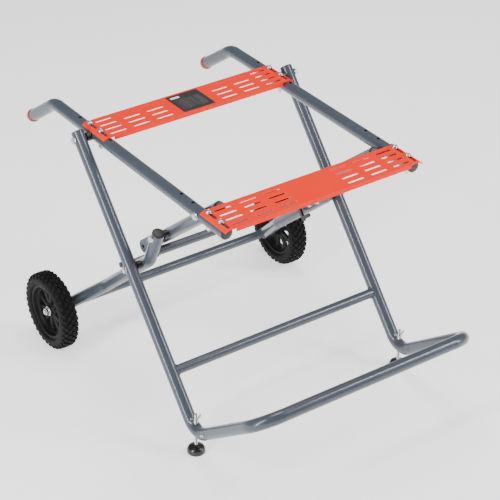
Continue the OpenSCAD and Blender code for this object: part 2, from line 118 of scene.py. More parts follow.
class Finish:
    """A material being mixed: its shader, and the place on the piece."""

    def __init__(self, name, **constants):
        self.material = bpy.data.materials.new(name)
        self.material.use_nodes = True
        tree = self.material.node_tree
        tree.nodes.clear()
        self.shader = tree.nodes.new("ShaderNodeBsdfPrincipled")
        target = tree.nodes.new("ShaderNodeOutputMaterial")
        tree.links.new(self.shader.outputs[0], target.inputs[0])
        self.field = Field(tree)
        self.place = self.field.node("ShaderNodeTexCoord", out=3)
        for key, value in constants.items():
            self.shader.inputs[key.replace("_", " ")].default_value = value

    def feed(self, **fields):
        for key, value in fields.items():
            self.field.tree.links.new(value.socket, self.shader.inputs[key.replace("_", " ")])
        return self.material


def grey_enamel():
    """Metallic enamel on steel tube: fine flake, orange peel, dull patches and rubbed marks."""
    mix = Finish("grey_enamel", Coat_Weight=0.3, Coat_Roughness=0.06)
    mix.shader.inputs["Specular IOR Level"].default_value = 0.3
    field, place = mix.field, mix.place
    cloud = field.noise(place, 7.0, 3.0)
    flake = field.node("ShaderNodeTexVoronoi", None, {"Vector": place, "Scale": 1500.0}, out=1)
    flake = field.node("ShaderNodeSeparateColor", None, {0: flake})
    rubs = field.noise(place, 60.0, 6.0, 0.65).above(0.68, 0.76)
    dust = field.noise(place, 24.0, 5.0, 0.6).above(0.5, 0.85)
    colour = field.tint(cloud, (0.053, 0.064, 0.084, 1), (0.063, 0.076, 0.098, 1))
    colour = field.tint(flake * 0.10, colour, (0.19, 0.22, 0.25, 1))
    colour = field.tint(rubs * 0.10, colour, (0.18, 0.19, 0.20, 1))
    colour = field.tint(dust * 0.06, colour, (0.18, 0.18, 0.175, 1))
    peel = field.noise(place, 260.0, 2.0) + flake * 0.12
    return mix.feed(
        Base_Color=colour,
        Metallic=0.2 - rubs * 0.1 - dust * 0.05,
        Roughness=0.27 + cloud * 0.03 + dust * 0.05 + rubs * 0.06,
        Normal=field.bumped(peel, 0.00006, 0.4),
    )


enamel = grey_enamel()


def recoat(material, *nodes):
    """Gives CAD pieces their finish."""
    for node in nodes:
        solid = frame["nodes"][node]
        solid.data.materials.clear()
        solid.data.materials.append(material)


recoat(enamel, "left_rail", "right_rail")

# ---------------------------------------------------------------------------
# Handle end caps and rail plugs. The caps are orange vinyl, dipped thick and
# pushed over the tube ends; the plugs are black nylon with a domed face.


def lathe(profile, steps, closed=False):
    """A turned shape along +X. The profile is (radius, distance along) pairs."""
    shape = bmesh.new()
    rings = []
    for radius, along in profile:
        if radius < 1e-7:
            rings.append([shape.verts.new((along, 0, 0))])
            continue
        rings.append([
            shape.verts.new((along, radius * math.cos(a), radius * math.sin(a)))
            for a in (2 * math.pi * i / steps for i in range(steps))
        ])
    pairs = list(zip(rings, rings[1:] + rings[:1])) if closed else list(zip(rings, rings[1:]))
    for one, two in pairs:
        for i in range(steps):
            j = (i + 1) % steps
            corners = [one[i % len(one)], one[j % len(one)], two[j % len(two)], two[i % len(two)]]
            face = list(dict.fromkeys(corners))
            if len(face) > 2:
                shape.faces.new(face)
    bmesh.ops.recalc_face_normals(shape, faces=shape.faces)
    mesh = bpy.data.meshes.new("turned")
    shape.to_mesh(mesh)
    shape.free()
    return mesh


def aimed(mesh, direction, centre):
    """The mesh, turned so that its +X points along direction, and moved to centre."""
    turn = Vector((1, 0, 0)).rotation_difference(Vector(direction)).to_matrix().to_4x4()
    made = mesh.copy()
    made.transform(Matrix.Translation(centre) @ turn)
    return made


def joined(meshes):
    shape = bmesh.new()
    for mesh in meshes:
        shape.from_mesh(mesh)
    made = bpy.data.meshes.new("joined")
    shape.to_mesh(made)
    shape.free()
    return made


def piece(name, mesh, material, body, replaces=(), crease=0.6):
    """Puts a finished mesh on a body."""
    mesh.materials.clear()
    mesh.materials.append(material)
    mesh.shade_smooth()
    mesh.set_sharp_from_angle(angle=crease)
    made = bpy.data.objects.new(name, mesh)
    bpy.context.scene.collection.objects.link(made)
    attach(made, body)
    if replaces:
        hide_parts(*replaces)
    return made


def orange_vinyl():
    """Dipped vinyl: soft gloss, slight flow marks and grubby from hands."""
    mix = Finish("orange_vinyl", Coat_Weight=0.1, Coat_Roughness=0.3)
    field, place = mix.field, mix.place
    grime = field.noise(place, 45.0, 4.0).above(0.5, 0.8)
    flow = field.noise(place, 120.0, 2.0)
    colour = field.tint(grime * 0.35, (0.62, 0.022, 0.004, 1), (0.30, 0.02, 0.008, 1))
    return mix.feed(
        Base_Color=colour,
        Roughness=0.36 + grime * 0.2 + flow * 0.06,
        Normal=field.bumped(flow, 0.0003, 0.5),
    )


def black_nylon():
    """Moulded nylon: fine spark-eroded grain, a little dust and paler scuffs."""
    mix = Finish("black_nylon")
    field, place = mix.field, mix.place
    grain = field.node("ShaderNodeTexVoronoi", None, {"Vector": place, "Scale": 1300.0})
    dust = field.noise(place, 55.0, 5.0, 0.6).above(0.5, 0.82)
    scuff = field.noise(field.stretched(place, (1, 0.2, 0.7)), 190.0, 4.0).above(0.64, 0.72)
    colour = field.tint(dust * 0.16, (0.0055, 0.0055, 0.0062, 1), (0.05, 0.048, 0.046, 1))
    colour = field.tint(scuff * 0.22, colour, (0.10, 0.10, 0.10, 1))
    return mix.feed(
        Base_Color=colour,
        Roughness=0.36 + dust * 0.2 + scuff * 0.12,
        Normal=field.bumped(grain, 0.00012, 0.5),
    )


vinyl = orange_vinyl()
nylon = black_nylon()

droop = math.radians(35.5)
cap_way = Vector((0, math.cos(droop), -math.sin(droop)))
cap_r = 0.018
low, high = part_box("handle_caps")
cap_face = Vector((high[0] - cap_r, high[1] - cap_r * math.sin(droop),
                   low[2] + cap_r * math.cos(droop)))
cap_profile = [(0.0, 0.0), (0.0095, -0.0002), (0.0134, -0.0009), (0.0160, -0.0022),
               (0.0174, -0.0042), (0.01795, -0.0070), (0.0180, -0.0100), (0.0180, -0.0122),
               (0.0176, -0.0135), (0.0169, -0.0140), (0.0162, -0.0139), (0.0162, -0.0080),
               (0.0138, -0.0080), (0.0138, -0.0270), (0.0, -0.0270)]
cap = lathe(cap_profile, 48)
caps = [aimed(cap, cap_way, (way * cap_face.x, cap_face.y, cap_face.z)) for way in (-1, 1)]
piece("handle_end_caps", joined(caps), vinyl, "rails", ["handle_caps"])

# The plug's domed face stands 2.5 mm off the tube, over a skirt that grips inside it.
plug_profile = [(0.0, 0.0), (0.0050, -0.00008), (0.0095, -0.0004), (0.0128, -0.0009),
                (0.0146, -0.0014), (0.0155, -0.0019), (0.0158, -0.0025), (0.0139, -0.0025),
                (0.0139, -0.0120), (0.0126, -0.0140), (0.0110, -0.0140), (0.0110, -0.0060),
                (0.0, -0.0060)]
plug = lathe(plug_profile, 40)
joint_at = {j["name"]: Vector(j["pos_m"]) for j in frame["record"]["behaviour"]["joints"]
            if "pos_m" in j}


def middle(node):
    low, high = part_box(node)
    return (Vector(low) + Vector(high)) / 2


def plug_pair(name, node, body, way, tip):
    """Two plugs, left and right, whose domed faces point along way from tip."""
    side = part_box(node)[1][0] - 0.0158
    made = [aimed(plug, way, (s * side, tip.y, tip.z)) for s in (-1, 1)]
    piece(name, joined(made), nylon, body, [node])


leg_top, crossing, link_top = (joint_at[n] for n in ("fold", "wheel_legs_fold", "links_fold"))
knee, axle = middle("knee_bolts"), joint_at["right_wheel_spin"]
knee, axle = Vector((0, knee.y, knee.z)), Vector((0, axle.y, axle.z))
leg_way = (leg_top - crossing).normalized()
strut_way = (axle - crossing).normalized()
knee_way = (knee - (crossing - strut_way * 0.0225)).normalized()
link_way = (knee - link_top).normalized()
plug_pair("rail_end_plugs", "rail_front_plugs", "rails", (0, -1, 0),
          Vector((0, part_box("rail_front_plugs")[0][1], leg_top.z)))
plug_pair("leg_top_plugs", "front_leg_plugs", "front_legs", leg_way, leg_top + leg_way * 0.0225)
plug_pair("strut_top_plugs", "wheel_leg_plugs", "wheel_legs", knee_way, knee + knee_way * 0.0165)
plug_pair("link_top_plugs", "link_plugs", "links", -link_way, link_top - link_way * 0.0145)
recoat(nylon, "leg_pivot_spacers", "link_pivot_spacers", "crossing_spacers", "knee_spacers",
       "latch_bar_caps", "latch_lever", "latch_clips")

# ---------------------------------------------------------------------------
# Saddle plates. Each is punched with slots, folded down along both long edges
# and rolled over the rails at its ends, then powder coated orange.


def orange_powder():
    """Powder coat on sheet: fine texture, chalky patches, and darker rubbed streaks."""
    mix = Finish("orange_powder")
    mix.shader.inputs["Specular IOR Level"].default_value = 0.16
    field, place = mix.field, mix.place
    peel = field.noise(place, 420.0, 3.0)
    cloud = field.noise(place, 9.0, 3.0)
    dust = field.noise(place, 30.0, 5.0, 0.62).above(0.52, 0.8)
    rub = field.noise(field.stretched(place, (0.15, 1.0, 1.0)), 150.0, 5.0).above(0.66, 0.75)
    colour = field.tint(cloud, (0.90, 0.016, 0.0005, 1), (0.98, 0.022, 0.001, 1))
    colour = field.tint(dust * 0.04, colour, (0.95, 0.15, 0.06, 1))
    colour = field.tint(rub * 0.18, colour, (0.55, 0.06, 0.02, 1))
    return mix.feed(
        Base_Color=colour,
        Roughness=0.38 + cloud * 0.05 + dust * 0.10,
        Normal=field.bumped(peel, 0.0002, 0.5),
    )


recoat(orange_powder(), "front_plate", "rear_plate")
for name in ("front_plate", "rear_plate"):
    sheet = frame["nodes"][name]
    sheet.modifiers.new("merge", "WELD").merge_threshold = 0.00002
    edge = sheet.modifiers.new("broken_edges", "BEVEL")
    edge.limit_method = "ANGLE"
    edge.angle_limit = math.radians(50)
    edge.width = 0.0006
    edge.segments = 2

# ---------------------------------------------------------------------------
# Plate label. A square of dark polyester film stuck to the rear plate, with
# nothing on it but a pale strip and faint ruled lines.


def label_film():
    mix = Finish("label_film", Coat_Weight=0.5, Coat_Roughness=0.1)
    field, place = mix.field, mix.place
    low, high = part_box("rear_plate_label")
    split = field.tree.nodes.new("ShaderNodeSeparateXYZ")
    field.tree.links.new(place.socket, split.inputs[0])
    across = (Field(field.tree, split.outputs[0]) - low[0]) / (high[0] - low[0])
    up = (Field(field.tree, split.outputs[1]) - low[1]) / (high[1] - low[1])
    strip = (up.above(0.80, 0.805) * (1 - up.above(0.90, 0.905))
             * across.above(0.08, 0.085) * (1 - across.above(0.36, 0.365)))
    lines = up * 16
    rows = lines.maths("FRACT", lines).above(0.62, 0.68)
    ragged = field.noise(field.stretched(place, (1.0, 0.02, 0.0)), 400.0, 0.0).above(0.45, 0.5)
    rows = rows * ragged * (1 - up.above(0.70, 0.71)) * up.above(0.12, 0.13)
    rows = rows * across.above(0.10, 0.11) * (1 - across.above(0.88, 0.89))
    scuff = field.noise(place, 90.0, 4.0).above(0.55, 0.8)
    colour = field.tint(rows * 0.5, (0.014, 0.014, 0.016, 1), (0.22, 0.22, 0.22, 1))
    colour = field.tint(strip, colour, (0.82, 0.82, 0.80, 1))
    colour = field.tint(scuff * 0.1, colour, (0.3, 0.29, 0.28, 1))
    return mix.feed(Base_Color=colour, Roughness=0.3 + scuff * 0.2)


recoat(label_film(), "rear_plate_label")

# ---------------------------------------------------------------------------
# Fasteners. Zinc-plated steel: pivot bolts, lock nuts, saddle screws, studs
# and the axle rod.


def bright_zinc():
    """Zinc plate: spangled tone, turning marks and a dull bloom in patches."""
    mix = Finish("bright_zinc", Metallic=1.0)
    field, place = mix.field, mix.place
    spangle = field.node("ShaderNodeTexVoronoi", None, {"Vector": place, "Scale": 480.0}, out=1)
    spangle = field.node("ShaderNodeSeparateColor", None, {0: spangle})
    bloom = field.noise(place, 160.0, 4.0, 0.6).above(0.45, 0.75)
    colour = field.tint(bloom * 0.6, (0.58, 0.585, 0.59, 1), (0.36, 0.37, 0.38, 1))
    colour = field.tint(spangle * 0.12, colour, (0.80, 0.80, 0.79, 1))
    return mix.feed(
        Base_Color=colour,
        Roughness=0.2 + bloom * 0.2 + spangle * 0.06,
        Normal=field.bumped(field.noise(place, 900.0, 2.0), 0.00006, 0.6),
    )


zinc = bright_zinc()


def set_out_tree():
    """Puts the same fastener at each marked place, turned as the place says."""
    tree = bpy.data.node_groups.new("set_out_fasteners", "GeometryNodeTree")
    face = tree.interface
    face.new_socket("Geometry", in_out="OUTPUT", socket_type="NodeSocketGeometry")
    face.new_socket("Places", in_out="INPUT", socket_type="NodeSocketGeometry")
    face.new_socket("Fastener", in_out="INPUT", socket_type="NodeSocketObject")
    face.new_socket("Finish", in_out="INPUT", socket_type="NodeSocketMaterial")
    given = tree.nodes.new("NodeGroupInput")
    ask = {sock.name: Field(tree, sock) for sock in given.outputs if sock.name}
    field = Field(tree)
    turn = field.node("GeometryNodeInputNamedAttribute", {"data_type": "FLOAT_VECTOR"},
                      {"Name": "turn"})
    part = field.node("GeometryNodeObjectInfo", {"transform_space": "ORIGINAL"},
                      {"Object": ask["Fastener"], "As Instance": True}, out=4)
    points = field.node("GeometryNodeMeshToPoints", None, {0: ask["Places"]})
    copies = field.node("GeometryNodeInstanceOnPoints", None,
                        {"Points": points, "Instance": part, "Rotation": turn})
    solid = field.node("GeometryNodeRealizeInstances", None, {0: copies})
    solid = field.node("GeometryNodeSetMaterial", None,
                       {"Geometry": solid, "Material": ask["Finish"]})
    leave = tree.nodes.new("NodeGroupOutput")
    tree.links.new(solid.socket, leave.inputs[0])
    return tree


def grown(mesh, tree, **sizes):
    """The plain mesh that a node tree makes from this one."""
    seed = bpy.data.objects.new("seed", mesh)
    bpy.context.scene.collection.objects.link(seed)
    step = seed.modifiers.new("grow", "NODES")
    step.node_group = tree
    for item in tree.interface.items_tree:
        if item.in_out == "INPUT" and item.name.replace(" ", "_") in sizes:
            step[item.identifier] = sizes[item.name.replace(" ", "_")]
    bpy.context.view_layer.update()
    result = seed.evaluated_get(bpy.context.evaluated_depsgraph_get())
    made = bpy.data.meshes.new_from_object(result)
    bpy.data.objects.remove(seed)
    return made


set_out = set_out_tree()


def fasteners(name, part, places, body, replaces):
    """Copies of a fastener at (point, turn) places, as one piece."""
    marks = bpy.data.meshes.new("places")
    marks.from_pydata([point for point, _ in places], [], [])
    turns = marks.attributes.new("turn", "FLOAT_VECTOR", "POINT")
    for i, (_, turn) in enumerate(places):
        turns.data[i].vector = turn
    pattern = bpy.data.objects.new("pattern", part.copy())
    made = grown(marks, set_out, Fastener=pattern, Finish=zinc)
    bpy.data.objects.remove(pattern)
    return piece(name, made, zinc, body, replaces, crease=0.55)


def hexagon(corner, height):
    """A hexagon standing from 0 to height along +X, its corners turned off."""
    shape = bmesh.new()
    bmesh.ops.create_cone(shape, cap_ends=True, segments=6, radius1=corner, radius2=corner,
                          depth=height)
    bmesh.ops.rotate(shape, verts=shape.verts, matrix=Matrix.Rotation(math.pi / 2, 3, "Y"))
    bmesh.ops.translate(shape, verts=shape.verts, vec=(height / 2, 0, 0))
    bmesh.ops.bevel(shape, geom=shape.edges[:], offset=corner * 0.075, segments=2, profile=0.5,
                    affect="EDGES")
    mesh = bpy.data.meshes.new("hexagon")
    shape.to_mesh(mesh)
    shape.free()
    return mesh


def threaded(radius, start, length, pitch, steps=20):
    """A rod with ridges a pitch apart, from start along +X."""
    count = int(length / pitch)
    profile = [(0.0, start), (radius * 0.86, start)]
    for k in range(count):
        at = start + (length - count * pitch) / 2 + k * pitch
        profile += [(radius * 0.885, at + pitch * 0.1), (radius, at + pitch * 0.45),
                    (radius, at + pitch * 0.6), (radius * 0.885, at + pitch * 0.95)]
    profile += [(radius * 0.86, start + length), (0.0, start + length)]
    return lathe(profile, steps)


def washer(outer, inner, thick, start):
    edge = thick * 0.25
    return lathe([(inner, start), (outer - edge, start), (outer, start + edge),
                  (outer, start + thick - edge), (outer - edge, start + thick),
                  (inner, start + thick)], 36, closed=True)


def pivot_bolt(shank):
    """Hexagon flange bolt: its head beyond 0, its shank back along -X."""
    return joined([
        washer(0.0098, 0.0048, 0.0013, 0.0),
        aimed(hexagon(0.0088, 0.0052), (1, 0, 0), (0.0013, 0, 0)),
        lathe([(0.0, -shank + 0.010), (0.0050, -shank + 0.010), (0.0050, 0.0005),
               (0.0, 0.0005)], 24),
        threaded(0.0049, -shank, 0.011, 0.00125),
    ])


# Lock nut: a hexagon, then the collar that grips the thread.
lock_nut = joined([
    hexagon(0.0088, 0.0056),
    lathe([(0.0050, 0.0050), (0.0077, 0.0052), (0.0076, 0.0066), (0.0070, 0.0076),
           (0.0060, 0.0080), (0.0051, 0.0079)], 30, closed=True),
])


def pivot_hardware(name, bolts, nuts, body, shank=0.0880):
    """The bolt and lock nut of one pivot, on both sides of the stand."""
    at = middle(bolts)
    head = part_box(bolts)[1][0] - 0.0065
    turned = math.radians(17)
    fasteners(name + "_bolts", pivot_bolt(shank),
              [((head, at.y, at.z), (turned, 0, 0)),
               ((-head, at.y, at.z), (turned, 0, math.pi))], body, [bolts])
    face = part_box(nuts)[1][0]
    fasteners(name + "_nuts", lock_nut, [((face, at.y, at.z), (0.3, 0, math.pi)),
                                         ((-face, at.y, at.z), (0.3, 0, 0))], body, [nuts])


pivot_hardware("leg_top", "leg_pivot_bolts", "leg_pivot_nuts", "rails", 0.0883)
pivot_hardware("link_top", "link_pivot_bolts", "link_pivot_nuts", "rails")
pivot_hardware("crossing", "crossing_bolts", "crossing_nuts", "front_legs")


def saddle_screw():
    """Washer under a domed head with a hexagon socket, on a plain shank. Built along +X."""
    head = lathe([(0.0, 0.0029), (0.0028, 0.0028), (0.0029, 0.0058), (0.0036, 0.0062),
                  (0.0052, 0.0058), (0.0064, 0.0048), (0.0070, 0.0032), (0.0070, 0.0018),
                  (0.0066, 0.0015), (0.0, 0.0015)], 36)
    for v in head.vertices:
        across = math.hypot(v.co.y, v.co.z)
        if 0.001 < across < 0.0032:
            swing = math.atan2(v.co.z, v.co.y) % (math.pi / 3) - math.pi / 6
            v.co.yz = Vector(v.co.yz) * (0.0025 / across / math.cos(swing))
    return joined([washer(0.0086, 0.0041, 0.0016, 0.0), head,
                   lathe([(0.0, -0.048), (0.0038, -0.048), (0.0040, -0.0475), (0.0040, 0.0016),
                          (0.0, 0.0016)], 20)])


up = (0, -math.pi / 2, 0)
screw = saddle_screw()
for plate in ("front", "rear"):
    node = plate + "_plate_bolts"
    low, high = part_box(node)
    seat, reach = high[2] - 0.0062, 0.0085
    places = [((s * (high[0] - reach), y, seat), up)
              for s in (-1, 1) for y in (low[1] + reach, high[1] - reach)]
    fasteners(plate + "_saddle_screws", screw, places, "rails", [node])

recoat(zinc, "plate_nuts", "axle_rod", "axle_spacers", "knee_bolts",
       "link_knee_pins", "latch_bar", "latch_clip_bolts")

# Axle nuts: a wide washer and a hexagon, set over the rod's rounded end.
low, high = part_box("axle_nuts")
nut_seat = high[0] - 0.0103
axle_nut = joined([
    washer(0.0128, 0.0062, 0.0021, 0.0),
    aimed(hexagon(0.0103, 0.0080), (1, 0, 0), (0.0022, 0, 0)),
])
fasteners("axle_end_nuts", axle_nut, [((nut_seat, axle.y, axle.z), (0.4, 0, 0)),
                                      ((-nut_seat, axle.y, axle.z), (0.4, 0, math.pi))],
          "wheel_legs", ["axle_nuts"])

# Foot bar screws: small pan heads, two beside each sleeve joint.
low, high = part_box("foot_bar_screws")
pan = joined([lathe([(0.0, 0.0022), (0.0018, 0.0021), (0.0029, 0.0016), (0.0033, 0.0008),
                     (0.0033, 0.0), (0.0, 0.0)], 24),
              lathe([(0.0, -0.0045), (0.0024, -0.0045), (0.0024, 0.0002), (0.0, 0.0002)], 12)])
seat, reach = high[0] - 0.0022, 0.0033
places = []
for s, turn in ((1, (0.5, 0, 0)), (-1, (0.5, 0, math.pi))):
    places += [((s * seat, high[1] - reach, low[2] + reach), turn),
               ((s * seat, low[1] + reach, high[2] - reach), turn)]
fasteners("sleeve_screws", pan, places, "front_legs", ["foot_bar_screws"])

# ---------------------------------------------------------------------------
# Front legs and foot bar. Bent tube in the same enamel; a lower crossbar is
# welded between the legs and the U-shaped foot bar is sleeved in and screwed.

recoat(enamel, "left_front_leg", "right_front_leg", "lower_crossbar", "foot_bar")


def bead_tree():
    """Runs a rippled weld bead round a closed line."""
    tree = bpy.data.node_groups.new("weld_bead", "GeometryNodeTree")
    face = tree.interface
    face.new_socket("Geometry", in_out="OUTPUT", socket_type="NodeSocketGeometry")
    for name, kind in (("Line", "NodeSocketGeometry"), ("Bead radius", "NodeSocketFloat"),
                       ("Ripples", "NodeSocketFloat"), ("Ripple depth", "NodeSocketFloat"),
                       ("Finish", "NodeSocketMaterial")):
        face.new_socket(name, in_out="INPUT", socket_type=kind)
    given = tree.nodes.new("NodeGroupInput")
    ask = {sock.name: Field(tree, sock) for sock in given.outputs if sock.name}
    field = Field(tree)
    line = field.node("GeometryNodeMeshToCurve", None, {0: ask["Line"]})
    line = field.node("GeometryNodeResampleCurve", None, {"Curve": line, "Count": 180})
    along = field.node("GeometryNodeSplineParameter")
    ripple = along * ask["Ripples"] * (2 * math.pi)
    ripple = ripple.maths("SINE", ripple) * ask["Ripple depth"] + 1.0
    ring = field.node("GeometryNodeCurvePrimitiveCircle", None, {"Resolution": 10, "Radius": 1.0})
    bead = field.node("GeometryNodeCurveToMesh", None,
                      {"Curve": line, "Profile Curve": ring,
                       "Scale": ask["Bead radius"] * ripple})
    bead = field.node("GeometryNodeRealizeInstances", None, {0: bead})
    bead = field.node("GeometryNodeSetMaterial", None,
                      {"Geometry": bead, "Material": ask["Finish"]})
    leave = tree.nodes.new("NodeGroupOutput")
    tree.links.new(bead.socket, leave.inputs[0])
    return tree


bead_round = bead_tree()


def weld(name, tube_x, tube_r, tube_way, at, stub_r, lean, body):
    """Beads where a stub tube across the stand meets a leaning tube on each side."""
    across = Vector((0, -tube_way.z, tube_way.y))
    made = []
    for s in (-1, 1):
        line = bpy.data.meshes.new("line")
        points = []
        for i in range(72):
            a = 2 * math.pi * i / 72
            off = (stub_r + 0.0006) * (math.cos(a) * tube_way + math.sin(a) * across)
            deep = math.sqrt(tube_r ** 2 - (stub_r * math.sin(a)) ** 2) / math.cos(lean)
            reach = tube_x - deep + stub_r * math.cos(a) * math.tan(lean) - 0.0004
            points.append((s * reach, at.y + off.y, at.z + off.z))
        line.from_pydata(points, [(i, (i + 1) % 72) for i in range(72)], [])
        made.append(grown(line, bead_round, Bead_radius=0.0021, Ripples=30.0, Ripple_depth=0.14,
                          Finish=enamel))
    bead = joined(made)
    tidy = bmesh.new()
    tidy.from_mesh(bead)
    bmesh.ops.remove_doubles(tidy, verts=tidy.verts, dist=1e-6)
    bmesh.ops.recalc_face_normals(tidy, faces=tidy.faces)
    tidy.to_mesh(bead)
    tidy.free()
    piece(name, bead, enamel, body, crease=1.2)


tube_r = 0.016
weld("crossbar_welds", 0.318, tube_r, leg_way, middle("lower_crossbar"), 0.0125, 0.0,
     "front_legs")

# ---------------------------------------------------------------------------
# Levelling feet. Glossy moulded rubber pads on threaded studs.


def pad_rubber():
    mix = Finish("pad_rubber", Coat_Weight=0.3, Coat_Roughness=0.12)
    field, place = mix.field, mix.place
    dust = field.noise(place, 120.0, 4.0).above(0.5, 0.8)
    colour = field.tint(dust * 0.08, (0.0040, 0.0040, 0.0044, 1), (0.04, 0.038, 0.036, 1))
    return mix.feed(
        Base_Color=colour,
        Roughness=0.36 + dust * 0.08,
        Normal=field.bumped(field.noise(place, 500.0, 2.0), 0.00004, 0.5),
    )


rubber_pad = pad_rubber()
pad_profile = [(0.0, 0.0), (0.0210, 0.0), (0.0224, 0.0005), (0.0230, 0.0016), (0.0230, 0.0068),
               (0.0226, 0.0080), (0.0222, 0.0082), (0.0222, 0.0092), (0.0218, 0.0118),
               (0.0206, 0.0144), (0.0186, 0.0166), (0.0160, 0.0183), (0.0130, 0.0196),
               (0.0104, 0.0204), (0.0092, 0.0212), (0.0080, 0.0218), (0.0070, 0.0220),
               (0.0042, 0.0220), (0.0040, 0.0215), (0.0040, 0.0190), (0.0, 0.0190)]
pad = lathe(pad_profile, 56)


def wing_nut_mesh():
    """A turned boss with two cast ears, standing along +X with the ears out along Y."""
    boss = lathe([(0.00405, 0.0), (0.0060, 0.0), (0.0066, 0.0006), (0.0064, 0.0040),
                  (0.0060, 0.0080), (0.0056, 0.0090), (0.00405, 0.0090)], 36, closed=True)
    ears = []
    for s in (-1, 1):
        shape = bmesh.new()
        outline = [(0.0052, 0.0012), (0.0100, 0.0062), (0.0142, 0.0108), (0.0158, 0.0152),
                   (0.0150, 0.0182), (0.0124, 0.0180), (0.0098, 0.0146), (0.0070, 0.0100),
                   (0.0050, 0.0078)]
        for thick in (-0.0014, 0.0014):
            shape.faces.new([shape.verts.new((z, s * y, thick)) for y, z in outline])
        shape.verts.ensure_lookup_table()
        count = len(outline)
        for i in range(count):
            j = (i + 1) % count
            shape.faces.new([shape.verts[k] for k in (i, j, count + j, count + i)])
        bmesh.ops.bevel(shape, geom=shape.edges[:], offset=0.0007, segments=2, profile=0.6,
                        affect="EDGES")
        bmesh.ops.recalc_face_normals(shape, faces=shape.faces)
        mesh = bpy.data.meshes.new("ear")
        shape.to_mesh(mesh)
        shape.free()
        ears.append(mesh)
    return joined([boss] + ears)


wing = wing_nut_mesh()
for side in ("left", "right"):
    low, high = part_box(side + "_foot_stud")
    at = middle(side + "_foot_stud")
    foot = side + "_levelling_foot"
    piece(side + "_threaded_stud",
          aimed(threaded(0.0040, 0.0, high[2] - low[2], 0.00125, 18), (0, 0, 1),
                (at.x, at.y, low[2])),
          zinc, foot, [side + "_foot_stud"], crease=1.2)
    piece(side + "_rubber_pad", aimed(pad, (0, 0, 1), (at.x, at.y, 0.0)), rubber_pad, foot,
          [side + "_foot_pad"])
    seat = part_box(side + "_wing_nut")[0][2]
    turned = wing.copy()
    turned.transform(Matrix.Translation((at.x, at.y, seat)) @ Matrix.Rotation(math.pi / 2, 4, "Z")
                     @ Matrix.Rotation(-math.pi / 2, 4, "Y"))
    piece(side + "_wing_nut_cast", turned, zinc, side + "_wing", [side + "_wing_nut"])

# ---------------------------------------------------------------------------
# Wheel legs, links and axle. Enamelled tube with two cross tubes welded in.

recoat(enamel, "left_wheel_leg", "right_wheel_leg", "upper_cross_tube", "axle_tube",
       "left_link", "right_link")

flare = math.atan2(0.049, (axle - crossing).length - 0.256)
weld("axle_tube_welds", 0.322, tube_r, strut_way, axle, 0.0125, flare, "wheel_legs")
weld("upper_tube_welds", 0.273, tube_r, -knee_way, middle("upper_cross_tube"), 0.011, 0.0,
     "wheel_legs")

# ---------------------------------------------------------------------------
# Wheels. A knobbly solid rubber tyre on a black nylon rim with five pairs of
# spokes; the rim turns on the axle rod.


def tyre_rubber():
    mix = Finish("tyre_rubber")
    mix.shader.inputs["Specular IOR Level"].default_value = 0.18
    field, place = mix.field, mix.place
    dust = field.noise(place, 40.0, 5.0, 0.62).above(0.42, 0.8)
    fine = field.noise(place, 700.0, 3.0)
    colour = field.tint(dust * 0.22, (0.0045, 0.0045, 0.005, 1), (0.030, 0.029, 0.028, 1))
    return mix.feed(
        Base_Color=colour,
        Roughness=0.66 + dust * 0.18,
        Normal=field.bumped(fine, 0.0003, 0.6),
    )


tyre_finish = tyre_rubber()
wheel_centre = {}
for joint in frame["record"]["behaviour"]["joints"]:
    if joint["name"].endswith("_wheel_spin"):
        wheel_centre[joint["child"]] = Vector(joint["pos_m"])

tyre_half = [(0.0760, 0.0180), (0.0775, 0.0208), (0.0800, 0.0232), (0.0822, 0.0243),
             (0.0835, 0.0249), (0.0846, 0.0249), (0.0858, 0.0243), (0.0890, 0.0246),
             (0.0915, 0.0244), (0.0930, 0.0234), (0.0955, 0.0222), (0.0978, 0.0204),
             (0.0996, 0.0176), (0.1008, 0.0130), (0.1015, 0.0070), (0.1016, 0.0)]
tyre_profile = tyre_half + [(r, -x) for r, x in reversed(tyre_half[:-1])]
carcass = lathe(tyre_profile, 96, closed=True)


def ring_tree():
    """Sets the same shape round the axle, in a row that may lean and start late."""
    tree = bpy.data.node_groups.new("ring_of_shapes", "GeometryNodeTree")
    face = tree.interface
    face.new_socket("Geometry", in_out="OUTPUT", socket_type="NodeSocketGeometry")
    face.new_socket("Shape", in_out="INPUT", socket_type="NodeSocketGeometry")
    for name, kind in (("Count", "NodeSocketInt"), ("Root radius", "NodeSocketFloat"),
                       ("Row across", "NodeSocketFloat"),
                       ("Row tilt", "NodeSocketFloat"), ("Row start", "NodeSocketFloat"),
                       ("Finish", "NodeSocketMaterial")):
        face.new_socket(name, in_out="INPUT", socket_type=kind)
    given = tree.nodes.new("NodeGroupInput")
    ask = {s.name: Field(tree, s) for s in given.outputs if s.name}
    field = Field(tree)
    number = field.node("GeometryNodeInputIndex")
    turn = (number + ask["Row start"]) * (2 * math.pi) / ask["Count"]
    points = field.node("GeometryNodePoints", None, {"Count": ask["Count"]})
    seat = field.node("ShaderNodeCombineXYZ", None, {
        0: ask["Row across"],
        1: turn.maths("COSINE", turn) * ask["Root radius"],
        2: turn.maths("SINE", turn) * ask["Root radius"]})
    points = field.node("GeometryNodeSetPosition", None, {"Geometry": points, "Position": seat})
    facing = field.node("ShaderNodeCombineXYZ", None, {0: turn, 1: 0.0, 2: 0.0})
    lean = field.node("ShaderNodeCombineXYZ", None, {0: 0.0, 1: 0.0, 2: ask["Row tilt"]})
    lugs = field.node("GeometryNodeInstanceOnPoints", None,
                      {"Points": points, "Instance": ask["Shape"], "Rotation": facing})
    lugs = field.node("GeometryNodeRotateInstances", None,
                      {"Instances": lugs, "Rotation": lean})
    solid = field.node("GeometryNodeRealizeInstances", None, {0: lugs})
    solid = field.node("GeometryNodeSetMaterial", None,
                       {"Geometry": solid, "Material": ask["Finish"]})
    leave = tree.nodes.new("NodeGroupOutput")
    tree.links.new(solid.socket, leave.inputs[0])
    return tree


